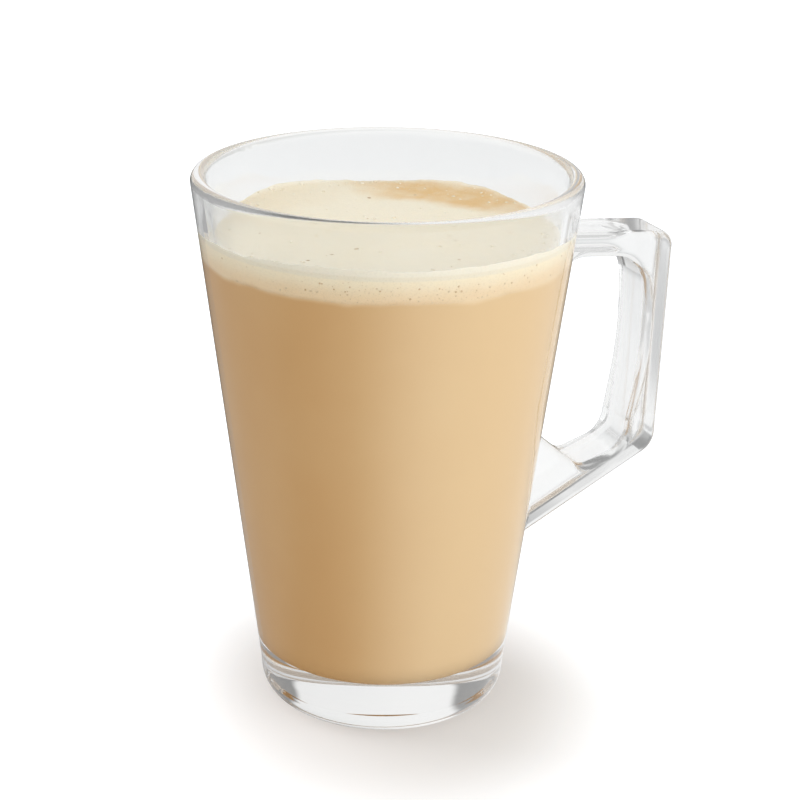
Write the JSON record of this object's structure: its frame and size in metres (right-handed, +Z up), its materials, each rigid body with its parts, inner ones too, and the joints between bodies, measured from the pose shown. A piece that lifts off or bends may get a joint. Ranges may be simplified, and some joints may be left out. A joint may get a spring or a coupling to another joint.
{
  "type": "flat white coffee",
  "caption": "Tall tapered clear glass mug with a squared strip handle, holding milky coffee under a layer of pale uneven froth.",
  "frame": {"origin": "on the mug's axis, in the plane that its foot ring stands on", "axes": "+Z up along the mug's axis, +X towards the handle, +Y to the left of someone looking along +X"},
  "size_m": [0.1037, 0.08, 0.116],
  "materials": {
    "clear_glass": "clear polished pressed glass",
    "coffee": "opaque milky coffee, wet",
    "froth": "fine cream-coloured milk froth with small bubbles"
  },
  "bodies": {
    "root": {"glass": "clear_glass", "coffee": "coffee", "froth": "froth"}
  },
  "joints": []
}
